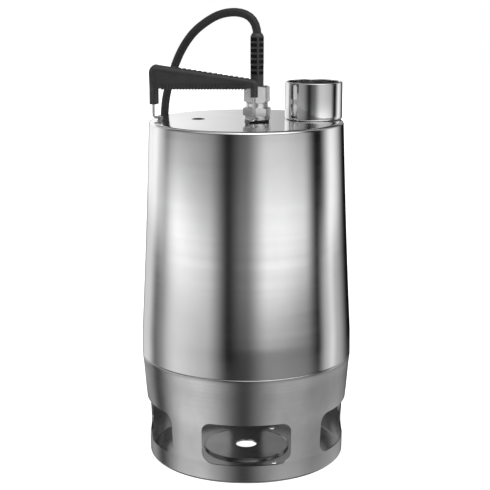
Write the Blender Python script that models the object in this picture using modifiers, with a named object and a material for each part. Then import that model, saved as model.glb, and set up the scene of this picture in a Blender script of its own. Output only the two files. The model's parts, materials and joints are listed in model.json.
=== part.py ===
"""Submersible sump pump: a stainless sleeve on a strainer cup, with the motor, seals and impeller inside it.

The origin is the centre of the standing surface, +Z is up, -Y is the front and +X is the discharge side.
Sizes in the functions are millimetres. MM turns them into Blender's metres.
"""

import math

import bmesh
import bpy
from mathutils import Matrix, Vector

MM = 0.001
GAP = 0.3  # between pieces that touch

# Driving dimensions
PLATE_Z = 395.0  # top of the top plate
SEAM_Z = 124.0  # joint between the sleeve and the strainer cup
SLEEVE_WALL = 1.5
SLEEVE_TOP_R = 110.9
SLEEVE_EDGE_R = 4.0  # rounding of the top edge
SLEEVE_KNEE_R, SLEEVE_KNEE_Z = 122.0, 150.0  # where the taper ends
SEAM_R = 122.3
STRAINER_WALL = 1.9
BASE_PLATE = 2.0
WINDOW_COUNT = 5
WINDOW_WIDE, WINDOW_LOW, WINDOW_HIGH = 100.0, 21.4, 70.0
SOCKET_XY = (77.0, 12.0)
SOCKET_R, SOCKET_BORE_R, SOCKET_HIGH = 32.85, 28.3, 42.5
GLAND_XY = (12.0, -12.0)
VENT_XY = (-55.0, 8.0)
CABLE_R = 4.75
SHAFT_R = 8.0
MOTOR_R, MOTOR_WALL = 66.0, 3.0
COIL_XY = (-5.0, 240.0)
COIL_MEAN_R, COIL_TURNS_WIDE, COIL_LAYERS = 81.0, 5, 4
COIL_LOW = 1.6
PIVOT_LEFT = (-105.2, -4.5)  # the handle's wire feet, in plan
PIVOT_RIGHT = (9.0, -34.5)
PIVOT_UP = 3.5  # above the top plate
GRIP_DEEP_LEFT, GRIP_DEEP_RIGHT = 13.0, 9.0
HEX_TURN = math.radians(20)  # how far a corner of the gland's hexagons stands from the front

# Sides of round pieces
SMALL, MEDIUM, LARGE = 12, 24, 44
STRAINER_STEPS = 40


# ---------------------------------------------------------------- helpers

for old in list(bpy.data.objects):
    bpy.data.objects.remove(old, do_unlink=True)

pump = bpy.data.collections.new("submersible_sump_pump")
cutters = bpy.data.collections.new("cutters")
for collection in (pump, cutters):
    bpy.context.scene.collection.children.link(collection)


def material(name, colour, roughness, metallic=0.0):
    made = bpy.data.materials.new(name)
    made.use_nodes = True
    shader = made.node_tree.nodes["Principled BSDF"]
    shader.inputs["Base Color"].default_value = (*colour, 1.0)
    shader.inputs["Roughness"].default_value = roughness
    shader.inputs["Metallic"].default_value = metallic
    return made


def finish_of(kind, name):
    """A material of its own for each part, from the kind that the part is made of."""
    kinds = {
        "polished": ((0.62, 0.62, 0.63), 0.16, 1.0),
        "satin": ((0.45, 0.45, 0.46), 0.32, 1.0),
        "steel": ((0.50, 0.50, 0.52), 0.30, 1.0),
        "cast": ((0.22, 0.23, 0.25), 0.55, 0.8),
        "copper": ((0.72, 0.36, 0.18), 0.40, 1.0),
        "lamination": ((0.30, 0.31, 0.33), 0.45, 0.9),
        "rubber": ((0.05, 0.05, 0.052), 0.60, 0.0),
        "plastic": ((0.055, 0.055, 0.06), 0.45, 0.0),
        "ceramic": ((0.75, 0.74, 0.70), 0.35, 0.0),
        "brass": ((0.72, 0.55, 0.28), 0.30, 1.0),
    }
    return material(f"{name}_{kind}", *kinds[kind])


def add(name, mesh, kind=None, at=(0, 0, 0)):
    """Puts a mesh in the pump, or, with no kind, among the cutters."""
    obj = bpy.data.objects.new(name, mesh)
    obj.location = Vector(at) * MM
    if kind is None:
        cutters.objects.link(obj)
        obj.hide_render = True
        obj.display_type = "WIRE"
    else:
        pump.objects.link(obj)
        obj.data.materials.append(finish_of(kind, name))
    return obj


def arc(centre, radius, start, end, steps=4):
    """Points on an arc of a profile, between two angles in degrees."""
    turns = [math.radians(start + (end - start) * i / steps) for i in range(steps + 1)]
    return [(centre[0] + radius * math.cos(a), centre[1] + radius * math.sin(a)) for a in turns]


def turned(name, outline, kind=None, steps=MEDIUM, at=(0, 0, 0)):
    """A turned solid. outline is (radius, height) points, closed unless it starts and ends on the axis."""
    area = sum(a[0] * b[1] - b[0] * a[1] for a, b in zip(outline, outline[1:] + outline[:1]))
    points = list(outline) if area < 0 else list(reversed(outline))
    on_axis = outline[0][0] == 0 and outline[-1][0] == 0
    mesh = bpy.data.meshes.new(name)
    count = len(points)
    edges = [(i, (i + 1) % count) for i in range(count - 1 if on_axis else count)]
    mesh.from_pydata([(r * MM, 0, z * MM) for r, z in points], edges, [])
    obj = add(name, mesh, kind, at)
    screw = obj.modifiers.new("Turn", "SCREW")
    screw.angle = 2 * math.pi
    screw.steps = screw.render_steps = steps
    screw.use_merge_vertices = True
    screw.merge_threshold = 0.00001
    return obj


def ring(name, inner, outer, low, high, kind=None, steps=20, at=(0, 0, 0), edge=0.0):
    """A plain ring with its outer corners broken by edge."""
    outline = [(inner, high), (outer - edge, high), (outer, high - edge)]
    outline += [(outer, low + edge), (outer - edge, low), (inner, low)]
    if edge == 0:
        outline = [(inner, high), (outer, high), (outer, low), (inner, low)]
    return turned(name, outline, kind, steps, at)


def cylinder(name, radius, low, high, kind=None, sides=20, at=(0, 0, 0), top_radius=None):
    shape = bmesh.new()
    bmesh.ops.create_cone(
        shape, cap_ends=True, segments=sides, depth=(high - low) * MM, radius1=radius * MM,
        radius2=(radius if top_radius is None else top_radius) * MM,
        matrix=Matrix.Translation((0, 0, (low + high) / 2 * MM)),
    )
    mesh = bpy.data.meshes.new(name)
    shape.to_mesh(mesh)
    shape.free()
    return add(name, mesh, kind, at)


def box(name, low, high):
    """A block among the cutters."""
    shape = bmesh.new()
    size = Vector(high) - Vector(low)
    middle = (Vector(high) + Vector(low)) / 2
    place = Matrix.Translation(middle * MM) @ Matrix.Diagonal((*size, 1))
    bmesh.ops.create_cube(shape, size=MM, matrix=place)
    mesh = bpy.data.meshes.new(name)
    shape.to_mesh(mesh)
    shape.free()
    return add(name, mesh)


def meshed(curve_object, kind=None):
    """The curve object as a mesh object with its caps welded, so that it can be cut or can cut."""
    name = curve_object.name
    graph = bpy.context.evaluated_depsgraph_get()
    mesh = bpy.data.meshes.new_from_object(curve_object.evaluated_get(graph))
    mesh.materials.clear()
    shape = bmesh.new()
    shape.from_mesh(mesh)
    bmesh.ops.remove_doubles(shape, verts=shape.verts, dist=0.00001)
    bmesh.ops.recalc_face_normals(shape, faces=shape.faces)
    shape.to_mesh(mesh)
    shape.free()
    place = curve_object.matrix_world.copy()
    bpy.data.objects.remove(curve_object, do_unlink=True)
    made = add(name, mesh, kind)
    made.matrix_world = place
    return made


def plate(name, outlines, thick, kind=None, place=Matrix()):
    """A flat outline, with any holes as further outlines, as a solid that is centred on its plane."""
    curve = bpy.data.curves.new(name, "CURVE")
    curve.dimensions = "2D"
    curve.fill_mode = "BOTH"
    curve.extrude = thick / 2 * MM
    for outline in outlines:
        spline = curve.splines.new("POLY")
        spline.points.add(len(outline) - 1)
        spline.use_cyclic_u = True
        for point, (x, y) in zip(spline.points, outline):
            point.co = (x * MM, y * MM, 0, 1)
    obj = bpy.data.objects.new(name, curve)
    pump.objects.link(obj)
    obj.matrix_world = Matrix.Translation(place.to_translation() * MM) @ place.to_3x3().to_4x4()
    bpy.context.view_layer.update()
    return meshed(obj, kind)


def tube(name, points, radius, kind=None, resolution=2):
    """A round bar with flat ends along the points."""
    curve = bpy.data.curves.new(name, "CURVE")
    curve.dimensions = "3D"
    curve.bevel_depth = radius * MM
    curve.bevel_resolution = resolution
    curve.use_fill_caps = True
    spline = curve.splines.new("POLY")
    spline.points.add(len(points) - 1)
    for point, place in zip(spline.points, points):
        point.co = (*(Vector(place) * MM), 1)
    obj = bpy.data.objects.new(name, curve)
    pump.objects.link(obj)
    if kind is None:
        return meshed(obj)
    curve.materials.append(finish_of(kind, name))
    return obj


def smooth(points, step):
    """Points about step apart on a smooth curve through the route's own points."""
    ends = [2 * Vector(points[0]) - Vector(points[1])]
    ends += [Vector(p) for p in points]
    ends += [2 * Vector(points[-1]) - Vector(points[-2])]
    found = []
    for a, b, c, d in zip(ends, ends[1:], ends[2:], ends[3:]):
        count = max(1, round((c - b).length / step))
        for i in range(count):
            t = i / count
            cubic = 2 * b + (c - a) * t + (2 * a - 5 * b + 4 * c - d) * t**2
            found.append((cubic + (3 * b - a - 3 * c + d) * t**3) / 2)
    return found + [ends[-2]]


def boolean(obj, other, operation="DIFFERENCE"):
    change = obj.modifiers.new(operation.title() + " " + other.name, "BOOLEAN")
    change.operation = operation
    change.object = other
    change.solver = "EXACT"


def around(count, start=0.0):
    """Angles, in radians, of count places spread round the axis."""
    return [math.radians(start + 360 / count * i) for i in range(count)]


def polar(radius, angle, up=0.0):
    return (radius * math.cos(angle), radius * math.sin(angle), up)


# ---------------------------------------------------------------- sleeve and strainer

def sleeve_radius(z):
    """Outer radius of the sleeve: a slightly hollow taper down to the knee, then nearly straight."""
    top = PLATE_Z - SLEEVE_EDGE_R
    if z >= SLEEVE_KNEE_Z:
        t = (top - z) / (top - SLEEVE_KNEE_Z)
        return SLEEVE_TOP_R + (SLEEVE_KNEE_R - SLEEVE_TOP_R) * (0.75 * t + 0.25 * t * t)
    t = (SLEEVE_KNEE_Z - z) / (SLEEVE_KNEE_Z - SEAM_Z)
    return SLEEVE_KNEE_R + (SEAM_R - SLEEVE_KNEE_R) * t


def make_sleeve():
    low = SEAM_Z + GAP / 2
    top = PLATE_Z - SLEEVE_EDGE_R
    heights = [top, 330, 270, 210, SLEEVE_KNEE_Z, low]
    edge = arc((SLEEVE_TOP_R - SLEEVE_EDGE_R, top), SLEEVE_EDGE_R, 90, 0, 3)
    inner_edge = arc((SLEEVE_TOP_R - SLEEVE_EDGE_R, top), SLEEVE_EDGE_R - SLEEVE_WALL, 0, 90, 2)
    outline = [(0, PLATE_Z)] + edge
    outline += [(sleeve_radius(z), z) for z in heights[1:]]
    outline += [(sleeve_radius(z) - SLEEVE_WALL, z) for z in reversed(heights[1:])]
    outline += inner_edge + [(0, PLATE_Z - SLEEVE_WALL)]
    sleeve = turned("sleeve", outline, "polished", LARGE)
    for name, centre, radius in (
        ("gland", GLAND_XY, 8.8), ("discharge", SOCKET_XY, SOCKET_BORE_R), ("vent", VENT_XY, 8.0),
    ):
        hole = cylinder(f"cut_{name}_hole", radius, PLATE_Z - 6, PLATE_Z + 6, sides=MEDIUM, at=(*centre, 0))
        boolean(sleeve, hole)
    steps = [(27.9, 0.3), (31.2, 0.3), (SOCKET_R - 0.5, 2.4), (SOCKET_R, 5.0)]
    socket = [(r, PLATE_Z + z) for r, z in steps]
    socket += [(SOCKET_R, PLATE_Z + SOCKET_HIGH - 1.6), (SOCKET_R - 1.0, PLATE_Z + SOCKET_HIGH)]
    socket += [(SOCKET_BORE_R + 1.2, PLATE_Z + SOCKET_HIGH), (SOCKET_BORE_R, PLATE_Z + SOCKET_HIGH - 1.4)]
    socket += [(SOCKET_BORE_R, PLATE_Z + 1.0)]
    turned("discharge_socket", socket, "polished", 32, (*SOCKET_XY, 0))
    vent = [(2.5, 392.0), (5.8, PLATE_Z), (7.6, PLATE_Z), (7.6, 387.0), (2.5, 387.0)]
    turned("vent_valve", vent, "plastic", 20, (*VENT_XY, 0))
    seal_r = SEAM_R - SLEEVE_WALL - 2.0
    ring("sleeve_seal", seal_r - 1.8, seal_r, SEAM_Z - 6, SEAM_Z + 6, "rubber", 40)


def window_outline():
    """Rounded rectangle, wider corners below, as (across, up)."""
    side, top_r, low_r = WINDOW_WIDE / 2, 10.5, 14.0
    corners = arc((side - top_r, WINDOW_HIGH - top_r), top_r, 0, 90, 3)
    corners += arc((top_r - side, WINDOW_HIGH - top_r), top_r, 90, 180, 3)
    corners += arc((low_r - side, WINDOW_LOW + low_r), low_r, 180, 270, 3)
    corners += arc((side - low_r, WINDOW_LOW + low_r), low_r, 270, 360, 3)
    return corners


STRAINER_OUTSIDE = [(122.3, SEAM_Z - GAP / 2), (121.0, 110), (118.3, 75), (117.0, 65), (114.8, 21)]
FOOT_R = 3.5  # rounding under the strainer cup
LUG_R, LUG_LOW, LUG_HIGH = 107.0, 72.5, 76.0
LUG_ANGLES = around(3, 90)


def make_strainer():
    foot = (STRAINER_OUTSIDE[-1][0] - 0.2 - FOOT_R, FOOT_R)
    outline = list(STRAINER_OUTSIDE) + arc(foot, FOOT_R, 0, -90, 3)
    outline += [(52.0, 0), (50.5, BASE_PLATE), (12.5, BASE_PLATE), (12.5, 2 * BASE_PLATE)]
    outline += [(50.8, 2 * BASE_PLATE), (52.8, BASE_PLATE)] + arc(foot, FOOT_R - BASE_PLATE, -90, 0, 2)
    outline += [(r - STRAINER_WALL, z) for r, z in reversed(STRAINER_OUTSIDE)]
    strainer = turned("strainer_base", outline, "satin", STRAINER_STEPS)
    window = plate("cut_window_0", [window_outline()], 44)
    for i, angle in enumerate(around(WINDOW_COUNT, -90)):
        cut = window if i == 0 else add(f"cut_window_{i}", window.data)
        outward = Matrix.Rotation(angle + math.pi / 2, 4, "Z") @ Matrix.Rotation(math.pi / 2, 4, "X")
        cut.matrix_world = Matrix.Translation(Vector(polar(112, angle)) * MM) @ outward
        boolean(strainer, cut)
    for i, angle in enumerate(around(3, 60)):
        boolean(strainer, cylinder(f"cut_base_hole_{i}", 3.75, -5, 8, at=polar(64.5, angle)))
    for i, angle in enumerate(LUG_ANGLES):
        lug = box(f"strainer_lug_{i}", (-7, -7.5, LUG_LOW), (7, 10.3, LUG_HIGH))
        turn = Matrix.Rotation(angle - math.pi / 2, 4, "Z")
        lug.matrix_world = turn @ Matrix.Translation((0, LUG_R * MM, 0))
        boolean(strainer, lug, "UNION")
        boolean(strainer, cylinder(f"cut_lug_{i}", 2.8, LUG_LOW - 3, LUG_HIGH + 3, at=polar(LUG_R, angle)))
    for i, angle in enumerate(LUG_ANGLES):
        under = LUG_LOW - GAP
        screw = [(0, 90.0), (2.4, 90.0), (2.4, under), (4.6, under)]
        screw += [(4.6, under - 1.9), (3.4, under - 3.3), (0, under - 3.3)]
        turned(f"strainer_screw_{i + 1}", screw, "steel", SMALL, polar(LUG_R, angle))


# ---------------------------------------------------------------- pump end

HOUSING_LOW, HOUSING_HIGH = 79.6, 114.0
ARM_ANGLES = around(4, 45)


def make_pump_end():
    cover = [(27.5, 74.4), (29.5, 73.2), (31.5, 74.4), (31.5, LUG_HIGH + GAP), (112.0, LUG_HIGH + GAP)]
    cover += [(112.0, HOUSING_LOW - GAP), (30.0, HOUSING_LOW - GAP), (27.5, HOUSING_LOW - 1.6)]
    suction = turned("suction_cover", cover, "steel", MEDIUM)
    wall = [(104.0, HOUSING_HIGH), (112.0, HOUSING_HIGH), (112.0, HOUSING_LOW)]
    wall += [(102.0, HOUSING_LOW), (102.0, 106.0)]
    housing = turned("pump_housing", wall, "cast", MEDIUM)
    for i, angle in enumerate(LUG_ANGLES):
        cut = cylinder(f"cut_cover_screw_{i}", 2.8, 70, 92, sides=SMALL, at=polar(LUG_R, angle))
        boolean(suction, cut)
        boolean(housing, cut)
    for i, angle in enumerate(ARM_ANGLES):
        place = polar(LUG_R + 1, angle)
        boolean(housing, cylinder(f"cut_arm_thread_{i}", 2.8, 100, 130, sides=SMALL, at=place))
    cup = [(MOTOR_R, 149.7), (MOTOR_R, 111.5), (MOTOR_R - 1.5, 110.0), (15.0, 110.0), (15.0, 116.0)]
    cup += [(58.0, 116.0), (58.0, 149.7)]
    carrier = turned("seal_carrier", cup, "cast", MEDIUM)
    for i, angle in enumerate(ARM_ANGLES):
        arm = box(f"carrier_arm_{i}", (60, -7, HOUSING_HIGH + GAP), (113, 7, 121))
        arm.matrix_world = Matrix.Rotation(angle, 4, "Z")
        boolean(carrier, arm, "UNION")
        boolean(carrier, cylinder(f"cut_arm_{i}", 2.8, 108, 128, sides=SMALL, at=polar(LUG_R + 1, angle)))
        screw = [(0, 125.3), (3.6, 125.3), (4.6, 124.0), (4.6, 121.3), (2.4, 121.3), (2.4, 104.0), (0, 104.0)]
        turned(f"housing_screw_{i + 1}", screw, "steel", SMALL, polar(LUG_R + 1, angle))
    ring("seal_seat", 8.6, 14.7, 111.0, 117.0, "ceramic", 20)
    ring("seal_face", SHAFT_R + GAP, 13.4, 117.3, 122.0, "lamination", 20)
    ring("seal_collar", SHAFT_R + GAP, 13.4, 138.0, 142.0, "steel", 20)
    turns, per_turn = 3.5, 12
    helix = [
        polar(11.2, 2 * math.pi * i / per_turn, 123.4 + 13.4 * i / (turns * per_turn))
        for i in range(int(turns * per_turn) + 1)
    ]
    tube("seal_spring", helix, 0.9, "steel", 1)


def make_impeller():
    hub = [(SHAFT_R - 2 + GAP, 104.0), (68.0, 104.0), (70.0, 102.0), (70.0, 99.5), (20.0, 99.0), (14.0, 94.0)]
    hub += [(14.0, 88.0), (SHAFT_R - 2 + GAP, 88.0)]
    impeller = turned("impeller", hub, "steel", 32)
    for i, angle in enumerate(around(6, 15)):
        vane = box(f"vane_{i}", (0, -2, 84.5), (57, 2, 100.5))
        start = Matrix.Rotation(angle, 4, "Z") @ Matrix.Translation((12.5 * MM, 0, 0))
        vane.matrix_world = start @ Matrix.Rotation(math.radians(-24), 4, "Z")
        boolean(impeller, vane, "UNION")
    nut = cylinder("impeller_nut", 10.8, 81.5, 87.7, "steel", 6)
    boolean(nut, cylinder("cut_impeller_nut", SHAFT_R - 2 + GAP, 70, 100, sides=20))


# ---------------------------------------------------------------- motor

SHIELD_LOW, SHIELD_HIGH = 150.0, 314.0  # undersides of the two end shields
STATOR_LOW, STATOR_HIGH = 190.0, 290.0


def bearing(name, low):
    """A ball bearing as two rings and a cage with its balls."""
    high, middle = low + 11.0, low + 5.5
    ring(f"{name}_outer_ring", 18.0, 21.0, low, high, "steel", 20)
    ring(f"{name}_inner_ring", SHAFT_R + GAP, 11.2, low, high, "steel", 20)
    cage = ring(f"{name}_cage", 13.6, 15.6, middle - 1.2, middle + 1.2, "brass", 16)
    for i, angle in enumerate(around(8)):
        ball = bpy.data.meshes.new(f"{name}_ball_{i}")
        shape = bmesh.new()
        bmesh.ops.create_uvsphere(shape, u_segments=6, v_segments=4, radius=3.0 * MM)
        shape.to_mesh(ball)
        shape.free()
        boolean(cage, add(f"{name}_ball_{i}", ball, at=polar(14.6, angle, middle)), "UNION")


def make_motor():
    shaft = [(0, 329.0), (7.0, 329.0), (SHAFT_R, 327.5), (SHAFT_R, 104.5), (SHAFT_R - 2, 104.3)]
    shaft += [(SHAFT_R - 2, 83.0), (SHAFT_R - 3, 82.0), (0, 82.0)]
    turned("shaft", shaft, "steel", 20)
    lower = [(MOTOR_R, 158.0), (MOTOR_R, SHIELD_LOW), (12.0, SHIELD_LOW), (12.0, 153.0), (21.3, 153.0)]
    lower += [(21.3, 164.0), (26.0, 164.0), (28.0, 158.0)]
    turned("lower_end_shield", lower, "cast", MEDIUM)
    ring("oil_seal", SHAFT_R + GAP, 11.7, 150.3, 152.7, "rubber", 20)
    bearing("lower_bearing", 153.3)
    inside = MOTOR_R - MOTOR_WALL
    ring("stator_core", 36.0, inside - GAP, STATOR_LOW, STATOR_HIGH, "lamination", MEDIUM)
    for name, low, high in (
        ("lower_winding", 172.0, STATOR_LOW - GAP), ("upper_winding", STATOR_HIGH + GAP, 308.0),
    ):
        ring(name, 40.0, 58.0, low, high, "copper", MEDIUM, edge=4.0)
    ring("rotor_core", SHAFT_R + GAP, 35.3, STATOR_LOW - 3, STATOR_HIGH + 3, "lamination", MEDIUM)
    upper = [(inside - GAP, 322.0), (inside - GAP, SHIELD_HIGH), (12.0, SHIELD_HIGH), (12.0, 317.0)]
    upper += [(21.3, 317.0), (21.3, 328.0), (26.0, 328.0), (28.0, 322.0)]
    turned("upper_end_shield", upper, "cast", MEDIUM)
    bearing("upper_bearing", 317.3)
    ring("motor_housing", inside, MOTOR_R, 158.3, 371.7, "satin", MEDIUM)
    cylinder("capacitor", 17.0, 331.0, 366.0, "plastic", 24, at=(-28.0, 12.0, 0))
    under = PLATE_Z - SLEEVE_WALL - GAP
    cover = [(0, under), (43.0, under), (44.0, under - 1), (44.0, 381.0), (64.0, 377.0), (MOTOR_R, 375.0)]
    cover += [(MOTOR_R, 372.0), (60.0, 372.0), (60.0, 365.5), (56.5, 365.5), (56.5, 373.5), (40.0, 378.0)]
    cover += [(40.0, 389.0), (0, 389.0)]
    top = turned("motor_top_cover", cover, "cast", MEDIUM)
    boolean(top, cylinder("cut_cover_gland", 8.5, 380, 400, at=(*GLAND_XY, 0)))
    turned("cover_seal", arc((61.5, 368.5), 1.0, 0, 300, 5), "rubber", MEDIUM)


# ---------------------------------------------------------------- cable entry

def make_gland():
    x, y = GLAND_XY
    up = PLATE_Z
    ring("gland_gasket", 8.7, 14.0, up + GAP, up + 2.0, "rubber", 20, at=(x, y, 0))
    body = [(0, up + 28.0), (10.3, up + 28.0), (10.3, up + 21.0), (12.2, up + 21.0), (12.2, up + 15.0)]
    body += [(14.8, up + 6.5), (14.8, up + 2.3), (8.2, up + 2.3), (8.2, up - 13.0), (0, up - 13.0)]
    core = turned("gland_body", body, "steel", 20, (x, y, 0))
    hexagon = cylinder("gland_body_hexagon", 16.0, up + 6, up + 16, sides=6, at=(x, y, 0))
    hexagon.rotation_euler.z = HEX_TURN
    boolean(core, hexagon, "UNION")
    boolean(core, cylinder("cut_gland_bore", 5.4, up - 20, up + 40, at=(x, y, 0)))
    nut = cylinder("gland_nut", 15.0, up + 21.3, up + 40, "steel", 6, at=(x, y, 0), top_radius=14.2)
    nut.rotation_euler.z = HEX_TURN
    inside = [(0, up + 50), (5.3, up + 50), (5.3, up + 34.6), (10.9, up + 34.6)]
    inside += [(10.9, up + 10), (0, up + 10)]
    boolean(nut, turned("cut_nut_bore", inside, None, 24, (x, y, 0)))
    ring("gland_grommet", CABLE_R + GAP, 10.6, up + 28.3, up + 34.3, "rubber", 20, at=(x, y, 0))
    boot = [(CABLE_R + GAP, up + 98.0), (6.0, up + 98.0), (7.1, up + 96.2), (7.5, up + 94.0)]
    boot += [(7.5, up + 40 + GAP), (CABLE_R + GAP, up + 40 + GAP)]
    turned("strain_boot", boot, "rubber", 20, (x, y, 0))
    lead = [(x, y, up + 13.5), (x, y, up - 4), (x - 2, y, up - 16)]
    lead += [(x - 14, y + 8, up - 24), (x - 30, y + 20, up - 25.5)]
    tube("motor_lead", smooth(lead, 9), 3.2, "rubber")


# ---------------------------------------------------------------- handle

def make_handle():
    left, right = Vector((*PIVOT_LEFT, PLATE_Z + PIVOT_UP)), Vector((*PIVOT_RIGHT, PLATE_Z + PIVOT_UP))
    along = (right - left).normalized()
    span = (right - left).length
    # In the handle's own axes x runs from the left foot to the right one and z is up.
    place = Matrix.Translation(left) @ Matrix.Rotation(math.atan2(along.y, along.x), 4, "Z")
    pivot = bpy.data.objects.new("handle_pivot", None)
    pump.objects.link(pivot)
    pivot.matrix_world = Matrix.Translation(left * MM) @ place.to_3x3().to_4x4()
    low = -PIVOT_UP
    outline = [(-4.2, low + 18.5)] + arc((4.3, low + 54.6), 8.5, 180, 97, 5)
    outline += arc((span - 2.4, low + 42.6), 6.2, 83, 0, 5) + [(span + 3.8, low + 29)]
    outline += [(span - 3.8, low + 29), (span - 3.8, low + 38.6), (4.8, low + 36.2), (4.8, low + 18.5)]
    side_on = Matrix.Rotation(math.pi / 2, 4, "X")
    grip = plate("handle_grip", [outline], GRIP_DEEP_LEFT, "plastic", side_on)
    for vertex in grip.data.vertices:
        vertex.co.z *= 1 - (1 - GRIP_DEEP_RIGHT / GRIP_DEEP_LEFT) * vertex.co.x / (span * MM)
    channel = [(0, 0, low + 10), (0, 0, low + 42), (1.8, 0, low + 46.2), (6, 0, low + 48)]
    channel += [(span - 6, 0, low + 43.0), (span - 1.8, 0, low + 41.4)]
    channel += [(span, 0, low + 37), (span, 0, low + 20)]
    groove = tube("cut_wire_groove", channel, 1.9)
    boolean(grip, groove)
    corner = [(2.5, 0, 0.2), (0.9, 0, 0.9), (0.2, 0, 2.5)]
    wire = [(11.0, 0, 0), (4.5, 0, 0)] + corner + [(0, 0, low + 40)] + channel[1:-2]
    wire += [channel[-2], (span, 0, 4.5)] + [(span - p[0], 0, p[2]) for p in reversed(corner)]
    wire += [(span - 4.5, 0, 0), (span - 11.0, 0, 0)]
    bail = tube("handle_wire", wire, 1.5, "steel")
    for piece in (grip, bail, groove):
        piece.parent = pivot
    eye = [(-6, low + GAP), (6, low + GAP), (6, low + 1.4), (2.9, low + 1.4)] + arc((0, 0), 2.9, 0, 180, 8)
    eye += [(-2.9, low + 1.4), (-6, low + 1.4)]
    bore = arc((0, 0), 1.65, 0, 337.5, 15)
    for name, x in (("handle_eye_left", 7.5), ("handle_eye_right", span - 7.5)):
        across = place @ Matrix.Translation((x, 0, 0)) @ Matrix(((0, 0, 1), (1, 0, 0), (0, 1, 0))).to_4x4()
        plate(name, [eye, bore], 4.0, "steel", across)


# ---------------------------------------------------------------- cable, coil and plug

# The route from inside the gland, up through the boot, over the handle, down behind the sleeve and
# along the floor to the coil.
ROUTE = [
    (12, -12, 409), (12, -12, 450), (12, -12, 480), (11.6, -11.8, 496.5), (7.4, -10, 507),
    (-0.5, -6.5, 513.2), (-12, -1.5, 515.6), (-27, 5, 513.6), (-42, 13, 506.5), (-60, 24, 492),
    (-74.5, 35, 471.5), (-85.5, 46, 446), (-94, 57, 417), (-97.5, 66.5, 390), (-99.8, 73, 350),
    (-101, 78, 290), (-101.5, 82, 220), (-101.5, 83.5, 150), (-101.5, 84, 90), (-102, 87, 50),
    (-102.8, 99, 24), (-103.6, 119, 9.5), (-104.2, 145, 6.35), (-104.6, 170, 6.35), (-104.8, 193, 6.35),
]
COIL_THICK = 2 * CABLE_R * (1 + (COIL_LAYERS - 1) * math.sqrt(0.75))
COIL_TOP = COIL_LOW + COIL_THICK
PLUG_UP = COIL_TOP + GAP + 19.0


def make_cord():
    tube("cable", smooth(ROUTE, 13), CABLE_R, "rubber")
    x, y = COIL_XY
    half = CABLE_R * COIL_TURNS_WIDE
    centre_z, high = (COIL_LOW + COIL_TOP) / 2, COIL_THICK / 2
    outline = arc((COIL_MEAN_R + half - 5, centre_z + high - 5), 5, 90, 0, 1)
    outline += arc((COIL_MEAN_R + half - 5, centre_z - high + 5), 5, 0, -90, 1)
    outline += arc((COIL_MEAN_R - half + 5, centre_z - high + 5), 5, 270, 180, 1)
    outline += arc((COIL_MEAN_R - half + 5, centre_z + high - 5), 5, 180, 90, 1)
    turned("cable_coil", outline, "rubber", MEDIUM, (x, y, 0))
    for name, angle in (("coil_tie_1", 0.0), ("coil_tie_2", 240.0)):
        outer = rounded(half + 2.2, high + 1.5, 6.0)
        inner = rounded(half + 1.1, high + GAP, 5.0)
        turn = Matrix.Rotation(math.radians(angle), 4, "Z") @ Matrix.Translation((COIL_MEAN_R, 0, 0))
        where = Matrix.Translation((x, y, centre_z)) @ turn @ Matrix.Rotation(math.pi / 2, 4, "X")
        plate(name, [outer, inner], 12, "rubber", where)
    up = COIL_TOP + GAP + CABLE_R
    tail = [(-64, -50, up), (-78.5, -20, up), (-81, 7, up + 1), (-73, 33, up + 4), (-57, 52, up + 9)]
    tail += [(-40, 62, up + 13), (-22, 66, PLUG_UP), (-12, 66, PLUG_UP)]
    tube("cable_tail", smooth([(x + a, y + b, c) for a, b, c in tail], 13), CABLE_R, "rubber")
    make_plug(Matrix.Translation((x - 22, y + 66, PLUG_UP)) @ Matrix.Rotation(math.pi / 2, 4, "Y"))


def rounded(wide, high, radius):
    """A rounded rectangle from its half sizes."""
    corners = arc((wide - radius, high - radius), radius, 0, 90)
    corners += arc((radius - wide, high - radius), radius, 90, 180)
    corners += arc((radius - wide, radius - high), radius, 180, 270)
    return corners + arc((wide - radius, radius - high), radius, 270, 360)


def make_plug(place):
    """A two-pin mains plug. Its own +Z runs from the cable towards the pins."""
    metres = Matrix.Translation(place.to_translation() * MM) @ place.to_3x3().to_4x4()
    outline = [(0, 60), (18.0, 60), (19.0, 58), (19.0, 37), (17.5, 33), (11.0, 28), (8.0, 24), (6.6, 0)]
    outline += [(CABLE_R + GAP, 0), (CABLE_R + GAP, 14), (0, 14)]
    body = turned("plug_body", outline, "plastic", 24)
    body.matrix_world = metres
    for name, side in (("plug_pin_left", -9.5), ("plug_pin_right", 9.5)):
        hole = cylinder(f"cut_{name}", 2.7, 50, 65, sides=SMALL)
        hole.matrix_world = metres @ Matrix.Translation((0, side * MM, 0))
        boolean(body, hole)
        pin = [(0, 79), (1.6, 79), (2.4, 77.5), (2.4, 50.5), (0, 50.5)]
        turned(name, pin, "steel", SMALL).matrix_world = metres @ Matrix.Translation((0, side * MM, 0))


make_sleeve()
make_strainer()
make_pump_end()
make_impeller()
make_motor()
make_gland()
make_handle()
make_cord()
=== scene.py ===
"""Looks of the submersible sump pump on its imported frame: fine shapes, finishes, cord, studio and camera.

The frame's origin is the centre of the standing surface, +Z is up, -Y is the front, +X the discharge side.
Sizes in the functions are millimetres. MM turns them into Blender's metres.
"""

import json
import math

import bmesh
import bpy
from mathutils import Matrix, Vector


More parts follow.
